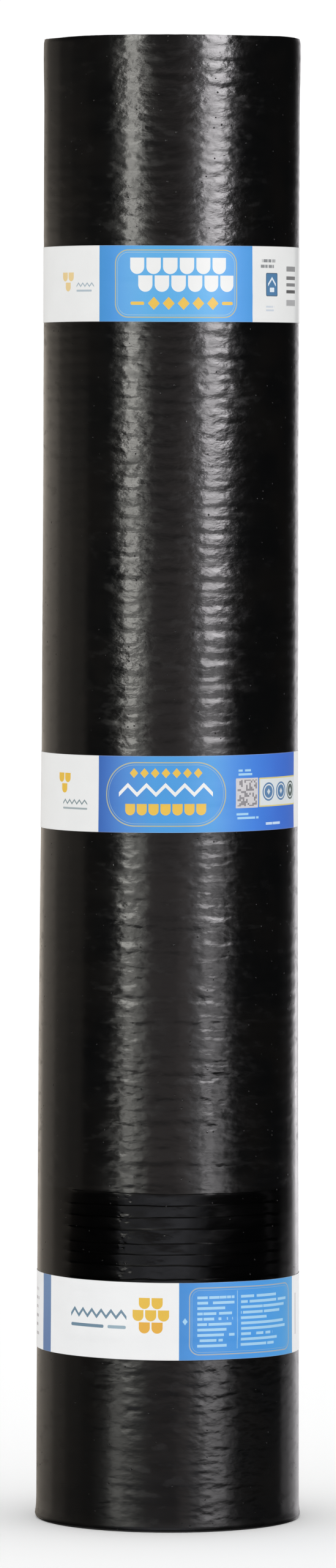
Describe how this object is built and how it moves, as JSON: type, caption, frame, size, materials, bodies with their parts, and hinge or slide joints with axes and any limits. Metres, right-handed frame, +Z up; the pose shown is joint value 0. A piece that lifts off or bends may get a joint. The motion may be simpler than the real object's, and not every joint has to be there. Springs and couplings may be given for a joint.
{
  "type": "roll of roofing felt",
  "caption": "Roll of black bitumen roofing felt standing on its end, wound around an open bore and held shut by plain white and blue paper bands.",
  "frame": {"origin": "centre of the lower end face, where the roll stands on the floor", "axes": "+Z up along the bore, -Y the front, where the bands show their blue panels, +X to the right seen from the front"},
  "size_m": [0.18, 0.18, 1],
  "materials": {
    "bitumen_felt": "black bitumen with a glossy, finely rippled film on its outer face and matte cut edges at the ends",
    "printed_paper": "coated white paper printed with plain blue fields, slightly glossy"
  },
  "bodies": {
    "root": {"felt_roll": "bitumen_felt", "label_band_upper": "printed_paper", "label_band_middle": "printed_paper", "label_band_lower": "printed_paper"}
  },
  "joints": []
}
